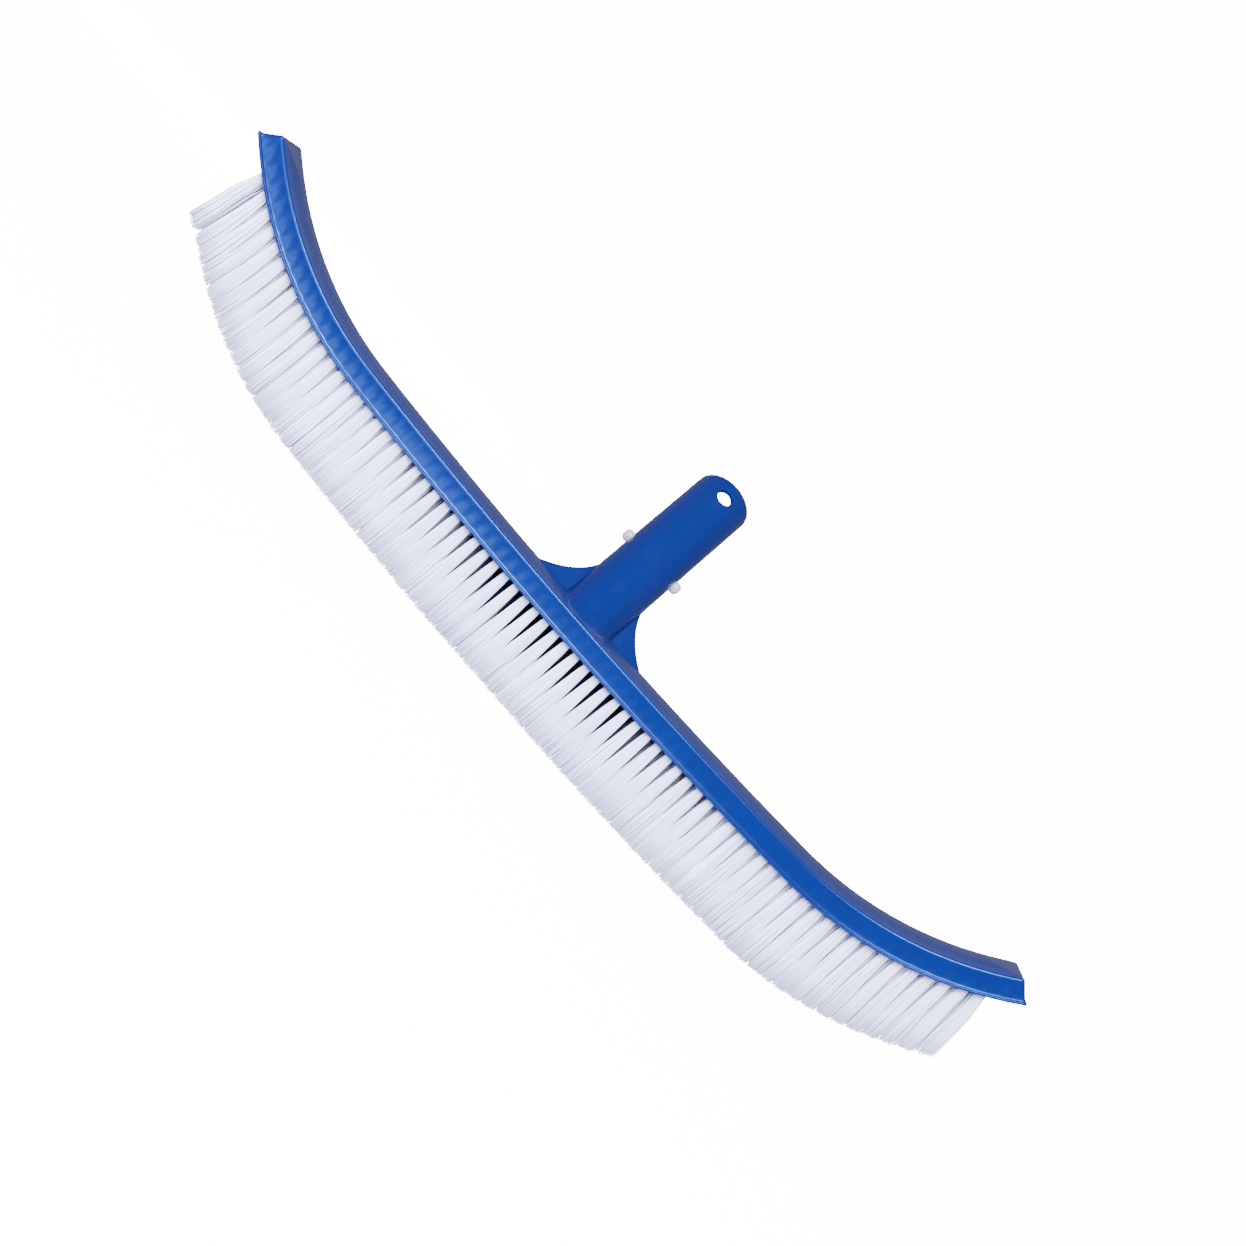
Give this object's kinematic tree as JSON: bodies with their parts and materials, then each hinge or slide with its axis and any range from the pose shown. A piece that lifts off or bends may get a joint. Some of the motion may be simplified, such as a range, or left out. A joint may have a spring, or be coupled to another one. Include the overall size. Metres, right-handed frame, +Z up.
{
  "type": "pool wall brush",
  "caption": "Bowed pool wall brush with a lipped plastic back, rows of stiff bristle tufts and a leaning tube handle that locks into a pole with a sprung V-clip.",
  "frame": {"origin": "centre of the overall depth and length, on the surface that the bristle tips stand on", "axes": "+X along the brush, +Y towards the side that the handle leans to, +Z up from the bristle tips to the handle"},
  "size_m": [0.4874, 0.106, 0.1337],
  "materials": {
    "blue_plastic": "glossy moulded blue",
    "white_bristle": "stiff white filament",
    "clip_plastic": "satin pale grey",
    "pin_plastic": "satin white"
  },
  "bodies": {
    "brush": {"brush_back": "blue_plastic", "handle_tube": "blue_plastic", "clip_bow": "clip_plastic", "tuft_block_01": "white_bristle", "tuft_block_02": "white_bristle", "tuft_block_03": "white_bristle", "tuft_block_04": "white_bristle", "tuft_block_05": "white_bristle", "tuft_block_06": "white_bristle", "tuft_block_07": "white_bristle", "tuft_block_08": "white_bristle", "tuft_block_09": "white_bristle", "tuft_block_10": "white_bristle", "tuft_block_11": "white_bristle", "tuft_block_12": "white_bristle", "tuft_block_13": "white_bristle", "tuft_block_14": "white_bristle", "tuft_block_15": "white_bristle", "tuft_block_16": "white_bristle", "tuft_block_17": "white_bristle", "tuft_block_18": "white_bristle", "tuft_block_19": "white_bristle", "tuft_block_20": "white_bristle", "tuft_block_21": "white_bristle", "tuft_block_22": "white_bristle", "tuft_block_23": "white_bristle", "tuft_block_24": "white_bristle", "tuft_block_25": "white_bristle", "tuft_block_26": "white_bristle", "tuft_block_27": "white_bristle", "tuft_block_28": "white_bristle", "tuft_block_29": "white_bristle", "tuft_block_30": "white_bristle", "tuft_block_31": "white_bristle", "tuft_block_32": "white_bristle", "tuft_block_33": "white_bristle", "tuft_block_34": "white_bristle", "tuft_block_35": "white_bristle", "tuft_block_36": "white_bristle"},
    "left_pin_arm": {"clip_arm_left": "clip_plastic", "snap_pin_left": "pin_plastic"},
    "right_pin_arm": {"clip_arm_right": "clip_plastic", "snap_pin_right": "pin_plastic"}
  },
  "joints": [
    {"name": "left_pin_press", "type": "hinge", "parent": "brush", "child": "left_pin_arm", "pos_m": [-0.0086, 0.02546, 0.10568], "axis": [0, -0.7278, 0.6858], "range_deg": [0, 7.1], "stiffness_Nm_per_rad": 1},
    {"name": "right_pin_press", "type": "hinge", "parent": "brush", "child": "right_pin_arm", "pos_m": [0.0086, 0.02546, 0.10568], "axis": [0, 0.7278, -0.6858], "range_deg": [0, 7.1], "stiffness_Nm_per_rad": 1}
  ]
}
